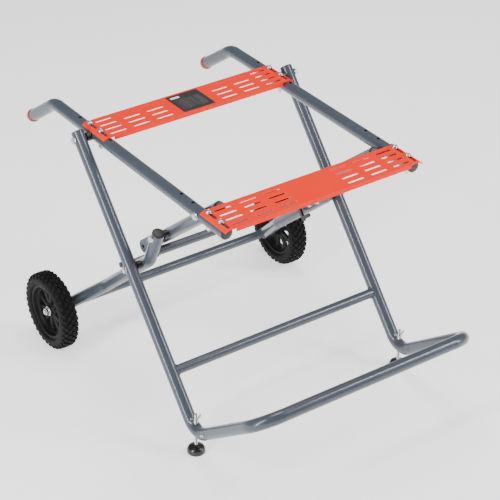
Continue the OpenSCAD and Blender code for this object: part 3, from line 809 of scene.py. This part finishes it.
def lug_block(around, across, height, shrink):
    """One tread block standing on +Y, narrower at its top, with moulded edges."""
    shape = bmesh.new()
    bmesh.ops.create_cube(shape, size=1.0)
    for v in shape.verts:
        top = v.co.y > 0
        v.co = Vector((v.co.x * across * (shrink if top else 1.0),
                       height if top else -0.0022,
                       v.co.z * around * (shrink if top else 1.0)))
    rims = [e for e in shape.edges if any(v.co.y > 0 for v in e.verts)]
    bmesh.ops.bevel(shape, geom=rims, offset=0.0009, segments=2, profile=0.6, affect="EDGES")
    bmesh.ops.recalc_face_normals(shape, faces=shape.faces)
    mesh = bpy.data.meshes.new("lug")
    shape.to_mesh(mesh)
    shape.free()
    return mesh


ring = ring_tree()
tread = []
lug_rows = ((0.0050, 0.1017, 0.0, 0.0, (0.0108, 0.0086, 0.0044)),
            (-0.0050, 0.1017, 0.0, 0.5, (0.0108, 0.0086, 0.0044)),
            (0.0150, 0.1006, -0.32, 0.5, (0.0104, 0.0084, 0.0046)),
            (-0.0150, 0.1006, 0.32, 0.0, (0.0104, 0.0084, 0.0046)),
            (0.0203, 0.0960, -1.05, 0.0, (0.0094, 0.0074, 0.0038)),
            (-0.0203, 0.0960, 1.05, 0.5, (0.0094, 0.0074, 0.0038)))
for across_at, root, tilt, start, size in lug_rows:
    tread.append(grown(lug_block(*size, 0.84), ring, Count=34, Root_radius=root,
                       Row_across=across_at, Row_tilt=tilt, Row_start=start,
                       Finish=tyre_finish))

for side, body in ((1, "right_wheel"), (-1, "left_wheel")):
    tyre = joined([carcass] + tread)
    tyre.transform(Matrix.Translation(wheel_centre[body]))
    piece(body.replace("wheel", "tyre") + "_treaded", tyre, tyre_finish, body,
          [body.replace("wheel", "tyre")])


def rim_nylon():
    """Glass-filled nylon: satin black with a faint grain and patches of dust."""
    mix = Finish("rim_nylon")
    mix.shader.inputs["Specular IOR Level"].default_value = 0.16
    field, place = mix.field, mix.place
    dust = field.noise(place, 70.0, 5.0, 0.6).above(0.46, 0.8)
    grain = field.noise(place, 1100.0, 2.0)
    colour = field.tint(dust * 0.16, (0.0045, 0.0045, 0.005, 1), (0.035, 0.034, 0.032, 1))
    return mix.feed(Base_Color=colour, Roughness=0.52 + dust * 0.2,
                    Normal=field.bumped(grain, 0.0001, 0.5))


rim_finish = rim_nylon()
barrel = lathe([(0.0758, 0.0180), (0.0722, 0.0190), (0.0700, 0.0190), (0.0684, 0.0183),
                (0.0674, 0.0168), (0.0664, 0.0120), (0.0640, 0.0075), (0.0612, 0.0052),
                (0.0602, 0.0046), (0.0598, 0.0036), (0.0598, -0.0080), (0.0612, -0.0092),
                (0.0650, -0.0120), (0.0666, -0.0150), (0.0684, -0.0182), (0.0705, -0.0188),
                (0.0758, -0.0180)], 96, closed=True)
hub = lathe([(0.00625, 0.0104), (0.0132, 0.0104), (0.0142, 0.0098), (0.0148, 0.0080),
             (0.0168, 0.0058), (0.0205, 0.0040), (0.0212, 0.0030), (0.0212, -0.0080),
             (0.0196, -0.0100), (0.0176, -0.0140), (0.0170, -0.0245), (0.0160, -0.0262),
             (0.00625, -0.0262)], 60, closed=True)


def spoke_mesh(lean):
    """One spoke up +Y that leans to one side: waisted, and flared into hub and rim."""
    stations = [(0.0190, 0.0068, 0.0034, -0.0078), (0.0260, 0.0058, 0.0040, -0.0070),
                (0.0380, 0.0055, 0.0042, -0.0060), (0.0500, 0.0060, 0.0040, -0.0062),
                (0.0580, 0.0074, 0.0036, -0.0068), (0.0625, 0.0096, 0.0030, -0.0074)]
    shape = bmesh.new()
    rings = []
    for out, half, front, rear in stations:
        off = lean * (out - 0.019)
        rings.append([shape.verts.new(co) for co in (
            (front, out, off - half * 0.62), (front, out, off + half * 0.62),
            (front - 0.0022, out, off + half), (rear, out, off + half),
            (rear, out, off - half), (front - 0.0022, out, off - half))])
    for one, two in zip(rings, rings[1:]):
        for i in range(6):
            j = (i + 1) % 6
            shape.faces.new((one[i], one[j], two[j], two[i]))
    shape.faces.new(rings[0])
    shape.faces.new(rings[-1])
    bmesh.ops.recalc_face_normals(shape, faces=shape.faces)
    mesh = bpy.data.meshes.new("spoke")
    shape.to_mesh(mesh)
    shape.free()
    return mesh


spokes = [grown(spoke_mesh(step * 0.16), ring, Count=5, Root_radius=0.0,
                Row_across=0.0, Row_tilt=0.0, Row_start=step * 11.0 / 72, Finish=rim_finish)
          for step in (-1, 1)]
for body, way in (("right_wheel", 1), ("left_wheel", -1)):
    rim = joined([barrel, hub] + spokes)
    if way < 0:
        rim.transform(Matrix.Diagonal((-1, 1, 1, 1)))
        rim.flip_normals()
    rim.transform(Matrix.Translation(wheel_centre[body]))
    piece(body.replace("wheel", "rim") + "_spoked", rim, rim_finish, body,
          [body.replace("wheel", "rim")])

# ---------------------------------------------------------------------------
# Studio. A pale seamless floor, two long soft strips for the streaks on the
# tubes, a large soft top light and a pale room.

floor_mix = Finish("pale_floor", Roughness=0.9)
floor_mix.shader.inputs["Base Color"].default_value = (0.95, 0.95, 0.95, 1)
floor_mix.shader.inputs["Emission Color"].default_value = (1, 1, 1, 1)
floor_mix.shader.inputs["Emission Strength"].default_value = 0.9
floor_mesh = bpy.data.meshes.new("floor")
floor_mesh.from_pydata([(-30, -30, 0), (30, -30, 0), (30, 30, 0), (-30, 30, 0)], [],
                       [(0, 1, 2, 3)])
floor_mesh.materials.append(floor_mix.material)
floor = bpy.data.objects.new("floor", floor_mesh)
bpy.context.scene.collection.objects.link(floor)


def strip_light(name, place, target, width, height, power):
    lamp = bpy.data.lights.new(name, "AREA")
    lamp.shape = "RECTANGLE"
    lamp.size, lamp.size_y, lamp.energy = width, height, power
    made = bpy.data.objects.new(name, lamp)
    bpy.context.scene.collection.objects.link(made)
    made.location = place
    made.rotation_mode = "QUATERNION"
    made.rotation_quaternion = (Vector(target) - Vector(place)).to_track_quat("-Z", "Y")


strip_light("left_strip", (-3.2, -0.6, 1.7), (0, 0, 0.4), 0.35, 3.2, 130)
strip_light("right_strip", (2.6, -2.4, 2.4), (0, 0, 0.4), 0.35, 3.2, 130)
strip_light("top_box", (0.3, 0.4, 3.6), (0, 0, 0), 2.0, 2.0, 72)

room = bpy.data.worlds.new("room")
room.use_nodes = True
room.node_tree.nodes["Background"].inputs[0].default_value = (1.0, 1.0, 1.0, 1)
room.node_tree.nodes["Background"].inputs[1].default_value = 0.3
bpy.context.scene.world = room

yaw, lift, roll = math.radians(-35.33), math.radians(31.98), math.radians(0.40)
back = Vector((math.sin(yaw) * math.cos(lift), -math.cos(yaw) * math.cos(lift), math.sin(lift)))
lens = bpy.data.cameras.new("camera")
lens.sensor_width = 36.0
lens.lens = 135.13
lens.clip_end = 100.0
camera = bpy.data.objects.new("camera", lens)
bpy.context.scene.collection.objects.link(camera)
camera.location = (-2.3285, -3.3365, 2.8701)
camera.rotation_mode = "QUATERNION"
camera.rotation_quaternion = (-back).to_track_quat("-Z", "Y") @ Quaternion((0, 0, 1), roll)
bpy.context.scene.camera = camera
